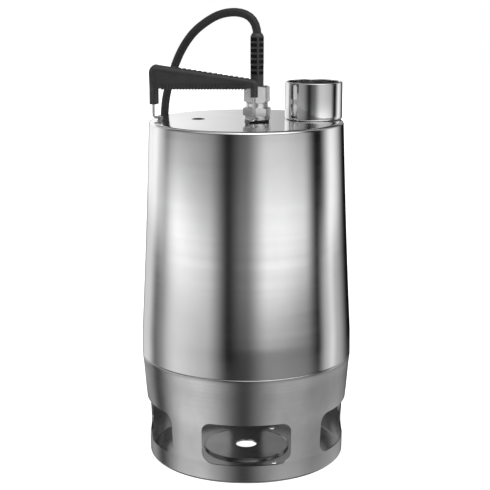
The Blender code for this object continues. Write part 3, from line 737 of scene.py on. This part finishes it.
def make_strainer():
    """The pressed cup: a wall with windows, a floor with a raised bead and holes, and three screw lugs."""
    top = SEAM - GAP / 2
    outside = [(SEAM_R - 0.55, top), (SEAM_R - 0.1, top - 0.45)]
    outside += [(SEAM_R - 0.03, top - 0.8), (SEAM_R, top - 1.2)]
    wall = [(SEAM_R - 0.02, 0, top - 3), (121.0, 0, 110), (119.8, 0, 95), (118.35, 0, 78)]
    wall += [(117.2, 0, 66), (116.4, 0, 54), (115.6, 0, 38), (114.8, 0, 21)]
    wall = [(p[0], p[2]) for p in smooth(wall, 3)]
    foot = arc(FOOT, FOOT_R, 0, -90, 10)
    underside = [(50.6, 0), (49.6, 0.5), (49.2, 1.4), (48.8, 2.0), (12.5, 2.0)]
    floor = [(12.5, 4.0), (48.8, 4.0), (49.3, 4.5), (50.3, 4.5), (50.8, 4.0), (50.9, 2.3), (51.2, 2.0)]
    floor += arc(FOOT, FOOT_R - 2.0, -90, 0, 8)
    inside = [(r - STRAINER_WALL, z) for r, z in reversed(wall)] + [(SEAM_R - STRAINER_WALL, top)]
    cup = turned("strainer_cup", outside + wall + foot + underside + floor + inside, STRAINER_STEPS)
    side, centre = WINDOW_HALF - WINDOW_TOP_R, WINDOW_HIGH - WINDOW_TOP_R
    edge = arc((side, centre), WINDOW_TOP_R, 0, 90, 10) + arc((-side, centre), WINDOW_TOP_R, 90, 180, 10)
    side, centre = WINDOW_HALF - WINDOW_LOW_R, WINDOW_LOW + WINDOW_LOW_R
    edge += arc((-side, centre), WINDOW_LOW_R, 180, 270, 10) + arc((side, centre), WINDOW_LOW_R, 270, 360, 10)
    cutters = []
    for i in range(WINDOWS):
        turn = Matrix.Rotation(TAU * i / WINDOWS, 4, "Z") @ Matrix.Rotation(math.pi / 2, 4, "X")
        cutters.append(prism(f"window_{i}", edge, 90, 134, turn))
    for i in range(3):
        centre = around(FLOOR_HOLES_AT, 60 + 120 * i)
        cutters.append(prism(f"base_hole_{i}", ring(centre, FLOOR_HOLE_R), -5, 8))
    carve(cup, cutters)
    for i in range(3):
        turn = Matrix.Rotation(math.radians(90 + 120 * i) - math.pi / 2, 4, "Z")
        lug = block(f"lug_{i}", (14, 17.8, 3.5), turn @ Matrix.Translation((0, 108.4, 74.25)))
        carve(cup, [lug], "UNION")
        centre = around(LUG_HOLES_AT, 90 + 120 * i)
        carve(cup, [prism(f"lug_hole_{i}", ring(centre, LUG_HOLE_R), 69, 80)])
    settle(cup, "casing", "satin_stainless", satin_steel("strainer_satin"), "strainer_base")


# ---------------------------------------------------------------- cable gland

HEX_TURN = -52.0  # azimuth of a corner of both hexagons, in degrees
BASE_CORNER, NUT_CORNER = 16.0, 15.0  # from the axis to a corner
STEEL_SHARP = 20  # degrees; the turned chamfers of steel parts stay crisp


def chamfered(name, corner, low, high, cut=1.1):
    """A hexagon on the gland's axis with the turned chamfers that a nut has."""
    limit = [(0, high), (corner - cut * 1.7, high), (corner + 0.05, high - cut)]
    limit += [(corner + 0.05, low + cut), (corner - cut * 1.7, low), (0, low)]
    at = (GLAND.x, GLAND.y, 0)
    solid = turned(name, limit, 96, at, STEEL_SHARP)
    sides = prism("hexagon", hexagon(corner, HEX_TURN), low - 5, high + 5, Matrix.Translation(at))
    return carve(solid, [sides], "INTERSECT", STEEL_SHARP)


def make_gland():
    """Gasket, base and cap nut of the cable gland."""
    at = (GLAND.x, GLAND.y, 0)
    flat = arc((13.2, PLATE + 1.15), 0.85, -90, 90, 8)
    gasket = turned("gland_seal", [(8.7, PLATE + GAP)] + flat + [(8.7, PLATE + 2.0)], 72, at)
    settle(gasket, "casing", "black_rubber", moulded("gland_seal_rubber", 0.02, 0.5), "gland_gasket")
    body = [(5.4, PLATE + 28), (9.9, PLATE + 28), (10.3, PLATE + 27.6), (10.3, PLATE + 20.9)]
    body += [(11.9, PLATE + 20.9), (12.3, PLATE + 20.5), (12.3, PLATE + 16.4), (12.0, PLATE + 15.6)]
    body += [(11.0, PLATE + 15.6), (11.0, PLATE + 7.0), (14.4, PLATE + 6.4), (14.8, PLATE + 6.0)]
    body += [(14.8, PLATE + 2.8), (14.4, PLATE + 2.3)]
    body += [(8.2, PLATE + 2.3), (8.2, PLATE - 13), (5.4, PLATE - 13)]
    body = turned("gland_base", body, 96, at, 25)
    base = chamfered("gland_base_hexagon", BASE_CORNER, PLATE + 6.2, PLATE + 16.0)
    carve(body, [base], "UNION", STEEL_SHARP)
    bore = prism("gland_bore", ring(at, 5.4, 48), PLATE - 20, PLATE + 40)
    carve(body, [bore], sharp=STEEL_SHARP)
    steel = machined_steel("gland_base_steel", GLAND, 0.84, 0.18)
    settle(body, "casing", "plain_stainless", steel, "gland_body")
    nut = chamfered("cap_nut", NUT_CORNER, NUT_LOW, NUT_HIGH, 1.5)
    inside = [(0, NUT_HIGH + 10), (5.3, NUT_HIGH + 10), (5.3, NUT_HIGH - 4.8), (5.9, NUT_HIGH - 5.4)]
    inside += [(10.9, NUT_HIGH - 5.4), (10.9, NUT_LOW - 10), (0, NUT_LOW - 10)]
    carve(nut, [turned("nut_bore", inside, 48, at)], sharp=STEEL_SHARP)
    steel = machined_steel("cap_nut_steel", GLAND, 0.92, 0.20)
    settle(nut, "casing", "plain_stainless", steel, "gland_nut")


# ---------------------------------------------------------------- handle

PIVOT_LEFT, PIVOT_RIGHT = Vector((-105.2, -4.5, PLATE + 3.5)), Vector((9.0, -34.5, PLATE + 3.5))
ALONG = (PIVOT_RIGHT - PIVOT_LEFT).normalized()
SPAN = (PIVOT_RIGHT - PIVOT_LEFT).length
LOW = -3.5  # the top plate's height in the handle's own axes
HANDLE_PLACE = Matrix.Translation(PIVOT_LEFT) @ Matrix.Rotation(math.atan2(ALONG.y, ALONG.x), 4, "Z")
GRIP_DEEP_LEFT, GRIP_DEEP_RIGHT = 13.0, 9.0
GRIP_TOP_LEFT, GRIP_TOP_RIGHT = (3.3, LOW + 63.0), (SPAN - 1.6, LOW + 48.8)
GRIP_LOW_LEFT, GRIP_LOW_RIGHT = 36.2, 38.6  # underside of the bar above the top plate
GRIP_STATIONS = 40  # along the bar, between its two bends
RIBS, RIB_R = 28, 0.8
TEETH, TOOTH_PITCH = 15, 6.1
WIRE_R = 1.5
FOOT_BEND = 3.0  # radius of the wire's bend at each foot


def grip_depth(x):
    """Front to back size of the grip."""
    share = min(1.0, max(0.0, x / SPAN))
    return GRIP_DEEP_LEFT + (GRIP_DEEP_RIGHT - GRIP_DEEP_LEFT) * share


def bar_low(x):
    """Height of the bar's underside in the handle's own axes."""
    return LOW + GRIP_LOW_LEFT + (GRIP_LOW_RIGHT - GRIP_LOW_LEFT) * (x - 4.8) / (SPAN - 8.6)


def grip_stations():
    """Pairs of (inner point, outer point) in the handle's x and z, from the left leg to the right."""
    left_in, right_in = (4.8, LOW + GRIP_LOW_LEFT), (SPAN - 3.8, LOW + GRIP_LOW_RIGHT)
    stations = [((4.8, LOW + z), (-4.2, LOW + z)) for z in (18.5, 24, 30, 35)]
    left = arc((4.3, LOW + 54.6), 8.5, 180, 97, 12)
    right = arc((SPAN - 2.4, LOW + 42.6), 6.2, 83, 0, 10)
    stations += [(left_in, point) for point in left]
    for i in range(1, GRIP_STATIONS):
        t = i / GRIP_STATIONS
        top = tuple(a + (b - a) * t for a, b in zip(left[-1], right[0]))
        low = tuple(a + (b - a) * t for a, b in zip(left_in, right_in))
        stations.append((low, top))
    stations += [(right_in, point) for point in right]
    return stations + [((SPAN - 3.8, LOW + z), (SPAN + 3.8, LOW + z)) for z in (36, 32.5, 29)]


def grip_section(inner, outer):
    """The closed section at a station: a flat web with a thicker round back."""
    inner, outer = Vector((inner[0], 0, inner[1])), Vector((outer[0], 0, outer[1]))
    high, half = (outer - inner).length, grip_depth(outer.x) / 2
    out = (outer - inner) / high
    web, corner, crown = half - 0.9, 0.8, min(5.4, high * 0.55, half)
    flat = arc((corner, corner - web), corner, 180, 270, 4) + [(high - crown - 1.2, -web)]
    flat += [(high - crown + crown * math.sin(a), -half * math.cos(a)) for a in
             (math.pi * i / 20 for i in range(21))]
    flat += [(high - crown - 1.2, web)] + arc((corner, web - corner), corner, 90, 180, 4)
    return [inner + out * u + Vector((0, v, 0)) for u, v in flat]


def make_grip():
    """The moulded grip with ribs along its underside and teeth along its back."""
    shape = bmesh.new()
    sections = [grip_section(*pair) for pair in grip_stations()]
    rows = [[shape.verts.new(HANDLE_PLACE @ p * MM) for p in section] for section in sections]
    grid(shape, rows)
    shape.faces.new(rows[0])
    shape.faces.new(rows[-1])
    bmesh.ops.remove_doubles(shape, verts=shape.verts, dist=1e-6)
    parts = [finished(shape, "grip_body", 40)]
    first, last = 12.0, SPAN - 10.0
    for i in range(RIBS):
        x = first + (last - first) * i / (RIBS - 1)
        half, low = grip_depth(x) / 2, bar_low(x)
        path = [(x, 0.6 - half, low + 4.6), (x, 0.5 - half, low + 0.7), (x, 1.2 - half, low - 0.5)]
        path += [(x, half - 1.2, low - 0.5), (x, half - 0.5, low + 0.7), (x, half - 0.6, low + 4.6)]
        parts.append(bar(f"rib_{i}", [HANDLE_PLACE @ Vector(p) for p in path], RIB_R, 8))
    left, right = GRIP_TOP_LEFT, GRIP_TOP_RIGHT
    for i in range(TEETH):
        x = 0.2 * SPAN + TOOTH_PITCH * i
        up = left[1] + (right[1] - left[1]) * (x - left[0]) / (right[0] - left[0])
        tooth = HANDLE_PLACE @ Matrix.Translation((x, grip_depth(x) * 0.24, up - 0.75))
        parts.append(block(f"tooth_{i}", (3.9, 2.0, 1.9), tooth))
    grip = joined("carrying_grip", parts, 40)
    plastic = moulded("grip_plastic", 0.066, 0.40, 1400, 0.06)
    settle(grip, "handle", "grip_plastic", plastic, "handle_grip")


def make_wire():
    """The wire bail: feet turned in at the plate, two uprights, and the run inside the grip."""
    turns = [math.pi / 2 * i / 6 for i in range(7)]
    corner = [(FOOT_BEND - FOOT_BEND * math.cos(a), FOOT_BEND - FOOT_BEND * math.sin(a)) for a in turns]
    left = [(11.0, 0), (5.0, 0)] + corner[::-1]
    run = [(0, LOW + 40), (0, LOW + 42), (1.8, LOW + 46.2), (6, LOW + 48)]
    run += [(SPAN - 6, LOW + 43.0), (SPAN - 1.8, LOW + 41.4), (SPAN, LOW + 37)]
    right = [(SPAN - x, z) for x, z in reversed(left)]
    points = [HANDLE_PLACE @ Vector((x, 0, z)) for x, z in left + run + right]
    wire = bar("wire_bail", points, WIRE_R, 20)
    steel = machined_steel("bail_wire_steel", (0, 0), 0.72, 0.18)
    settle(wire, "handle", "plain_stainless", steel, "handle_wire")


def make_saddles():
    """Bent straps that hold the wire's two feet to the plate."""
    strap = [(-1.9, 0.3), (-6.0, 0.3), (-6.0, 1.0), (-2.5, 1.0)] + arc((0, 3.5), 2.35, 180, 0, 16)
    strap += [(2.5, 1.0), (6.0, 1.0), (6.0, 0.3), (1.9, 0.3)] + arc((0, 3.5), 1.65, 0, 180, 16)
    strap = [(across, up + LOW) for across, up in strap]
    upright = Matrix(((0, 0, 1), (1, 0, 0), (0, 1, 0))).to_4x4()
    for name, x in (("left", 7.5), ("right", SPAN - 7.5)):
        place = HANDLE_PLACE @ Matrix.Translation((x, 0, 0)) @ upright
        saddle = prism(f"wire_saddle_{name}", strap, -1.6, 1.6, place)
        steel = machined_steel(f"saddle_steel_{name}", (0, 0), 0.78, 0.22)
        settle(saddle, "casing", "plain_stainless", steel, f"handle_eye_{name}")


# ---------------------------------------------------------------- CAD parts that stay

CAD_SHARP = 32  # degrees


def smooth_group():
    """Smooth shading but for sharp edges, as a modifier, so that a CAD mesh itself stays as it is."""
    group = bpy.data.node_groups.new("smooth_by_angle", "GeometryNodeTree")
    group.interface.new_socket("Geometry", in_out="INPUT", socket_type="NodeSocketGeometry")
    group.interface.new_socket("Geometry", in_out="OUTPUT", socket_type="NodeSocketGeometry")
    nodes, links = group.nodes, group.links
    start, end = nodes.new("NodeGroupInput"), nodes.new("NodeGroupOutput")
    angle = nodes.new("GeometryNodeInputMeshEdgeAngle")
    small = nodes.new("FunctionNodeCompare")
    small.operation = "LESS_THAN"
    small.inputs[1].default_value = math.radians(CAD_SHARP)
    faces, edges = nodes.new("GeometryNodeSetShadeSmooth"), nodes.new("GeometryNodeSetShadeSmooth")
    edges.domain = "EDGE"
    links.new(start.outputs[0], faces.inputs["Geometry"])
    links.new(faces.outputs[0], edges.inputs["Geometry"])
    links.new(angle.outputs["Unsigned Angle"], small.inputs[0])
    links.new(small.outputs[0], edges.inputs["Shade Smooth"])
    links.new(edges.outputs[0], end.inputs[0])
    return group


# The finish of each slot that a shown CAD node has
LOOKS_BY_SLOT = {
    "satin_stainless": satin_steel,
    "plain_stainless": machined_steel,
    "bearing_steel": lambda name: machined_steel(name, (0, 0), 0.66, 0.12),
    "grey_casting": cast,
    "electrical_steel": laminated,
    "copper_winding": wound_copper,
    "black_rubber": lambda name: moulded(name, 0.03, 0.55),
    "black_plastic": lambda name: moulded(name, 0.035, 0.4),
    "carbon_ring": smooth_carbon,
    "ceramic_ring": ceramic,
    "brass": brass,
}


def finish_cad_nodes():
    """Gives each CAD node that no finer piece replaces its finish and smooth shading."""
    group = smooth_group()
    slots = {part["node"]: part["material_slot"] for part in frame["record"]["subparts"]}
    for name, obj in frame["nodes"].items():
        if obj.hide_render:
            continue
        look = LOOKS_BY_SLOT[slots[name]](f"{name}_finish")
        for part in obj.material_slots:
            part.material = look
        change = obj.modifiers.new("smooth", "NODES")
        change.node_group = group


# ---------------------------------------------------------------- studio

# Soft boxes round the object: degrees to the right of the viewer's side where each starts, is full,
# starts to fade and ends, its brightness, how much of that is left above and below its middle, and
# the elevation at which it starts to fade upwards.
SOFT_BOXES = [
    (-128, -92, -46, -18, 0.78, 0.32, 0.53, -7.9),
    (-108, -82, -88, -29, 0.50, 0.32, 0.53, -7.9),
    (-141, -124, -121, -102, 0.60, 1.00, 0.12, -7.0),
    (-178, -152, -140, -116, 1.00, 0.90, 0.66, -7.0),
    (-24, 0, 34, 80, 0.25, 0.50, 0.20, -7.2),
    (-2, 26, 34, 80, 0.15, 0.50, 0.18, -7.2),
    (-2, 26, 66, 88, 0.84, 0.50, 0.18, -7.2),
    (93, 116, 114, 152, 1.04, 0.94, 0.46, -7.0),
    (84, 98, 106, 119, 0.42, 0.00, 1.00, -9.6),
]
# The boxes near the floor, which the strainer cup reflects.
LOW_BOXES = [
    (-125, -75, -60, 2, 0.95),
    (-10, 42, 60, 88, 0.13),
    (-10, 42, 150, 175, 0.45),
    (100, 135, 150, 175, 0.20),
    (-175, -150, -140, -120, 0.60),
]
FRONT_FILL = 0.006
FADE_HIGH = 2.8  # degrees over which a box fades upwards
FADE_LOW = (-10.9, -8.2)  # elevations between which a box comes down to what is left below its middle
BOX_FLOOR = (-22.0, -17.0)  # elevations between which the upright boxes start


def make_world():
    """The studio as one world shader: soft boxes by azimuth and elevation."""
    world = bpy.data.worlds.new("studio")
    bpy.context.scene.world = world
    world.use_nodes = True
    nodes, links = world.node_tree.nodes, world.node_tree.links
    background, output = nodes["Background"], nodes["World Output"]

    def put(value, socket):
        if hasattr(value, "links"):
            links.new(value, socket)
        else:
            socket.default_value = value

    def sum_of(operation, first, second=0.0):
        node = nodes.new("ShaderNodeMath")
        node.operation = operation
        put(first, node.inputs[0])
        put(second, node.inputs[1])
        return node.outputs[0]

    def ramp(value, start, end, low=0.0, high=1.0):
        node = nodes.new("ShaderNodeMapRange")
        node.interpolation_type = "SMOOTHSTEP"
        put(value, node.inputs["Value"])
        for name, number in zip(("From Min", "From Max", "To Min", "To Max"), (start, end, low, high)):
            node.inputs[name].default_value = number
        return node.outputs["Result"]

    direction = nodes.new("ShaderNodeTexCoord").outputs["Generated"]
    parts = nodes.new("ShaderNodeSeparateXYZ")
    links.new(direction, parts.inputs[0])
    x, y, z = parts.outputs
    front = sum_of("MULTIPLY", sum_of("ARCTAN2", x, sum_of("MULTIPLY", y, -1.0)), 180 / math.pi)
    rear = sum_of("MULTIPLY", sum_of("ARCTAN2", x, y), 180 / math.pi)
    up = sum_of("MULTIPLY", sum_of("ARCSINE", z), 180 / math.pi)

    def box_at(rise_start, rise_end, fall_start, fall_end, level):
        fall = ramp(front, fall_start, fall_end, 1.0, 0.0)
        return sum_of("MULTIPLY", sum_of("MULTIPLY", ramp(front, rise_start, rise_end), fall), level)

    upright = FRONT_FILL
    for *sides, over, under, fade in SOFT_BOXES:
        height = ramp(up, fade, fade + FADE_HIGH, 1.0, over)
        height = sum_of("MULTIPLY", height, ramp(up, *FADE_LOW, under, 1.0))
        upright = sum_of("ADD", sum_of("MULTIPLY", box_at(*sides), height), upright)
    upright = sum_of("MULTIPLY", upright, ramp(up, *BOX_FLOOR))
    low = FRONT_FILL
    for sides in LOW_BOXES:
        low = sum_of("ADD", box_at(*sides), low)
    low = sum_of("MULTIPLY", low, ramp(up, -29.0, -15.0, 1.0, 0.0))
    # Little light comes from the floor near the object, and some from straight below.
    low = sum_of("MULTIPLY", low, ramp(up, -46.0, -37.0, 0.02, 1.0))
    low = sum_of("ADD", low, ramp(up, -66.0, -52.0, 0.30, 0.0))
    # A wide pale wall behind the object, which the flat top reflects, and a soft box overhead.
    wall = sum_of("MULTIPLY", ramp(rear, -5.5, 5.0, 1.05, 0.32), ramp(rear, 20.0, 35.0, 1.0, 0.1))
    wall = sum_of("MULTIPLY", sum_of("MULTIPLY", wall, ramp(rear, -60.0, -35.0)), ramp(up, 0.0, 4.0))
    wall = sum_of("MULTIPLY", wall, ramp(up, 16.0, 26.0, 1.0, 0.03))
    above = sum_of("MULTIPLY", ramp(up, 24.0, 50.0), ramp(y, 0.05, -0.25))
    above = sum_of("MULTIPLY", above, ramp(x, -0.45, 0.1, 0.45, 1.7))
    above = sum_of("ADD", above, ramp(up, 30.0, 80.0, 0.0, 0.10))
    sides = sum_of("MULTIPLY", sum_of("ADD", upright, low), ramp(up, 0.0, 30.0, 1.0, 0.4))
    light = sum_of("ADD", sum_of("MAXIMUM", sides, wall), above)
    # The camera itself sees plain white.
    camera_ray = nodes.new("ShaderNodeLightPath").outputs["Is Camera Ray"]
    put(sum_of("MAXIMUM", light, camera_ray), background.inputs["Strength"])
    background.inputs["Color"].default_value = (1, 1, 1, 1)
    links.new(background.outputs[0], output.inputs[0])


def make_floor():
    """A white floor that takes the shadow and isn't reflected in the steel."""
    shape = bmesh.new()
    bmesh.ops.create_grid(shape, x_segments=1, y_segments=1, size=6.0)
    floor = finished(shape, "floor")
    floor.location.z = -0.0002
    floor.visible_glossy = False
    pale = bpy.data.materials.new("pale_floor")
    pale.use_nodes = True
    shader = pale.node_tree.nodes["Principled BSDF"]
    shader.inputs["Base Color"].default_value = (0.8, 0.8, 0.8, 1)
    shader.inputs["Roughness"].default_value = 0.9
    shader.inputs["Emission Color"].default_value = (1, 1, 1, 1)
    camera_ray = pale.node_tree.nodes.new("ShaderNodeLightPath").outputs["Is Camera Ray"]
    pale.node_tree.links.new(camera_ray, shader.inputs["Emission Strength"])
    floor.data.materials.append(pale)


def make_studio():
    make_world()
    make_floor()
    bpy.context.scene.view_settings.view_transform = "Standard"


# ---------------------------------------------------------------- the whole object

make_camera()
cable = make_cord()
boot = make_boot()
ties = make_ties()
plug = make_plug()
make_sleeve()
make_socket()
make_vent()
make_strainer()
make_gland()
make_grip()
make_wire()
make_saddles()
finish_cad_nodes()
make_studio()
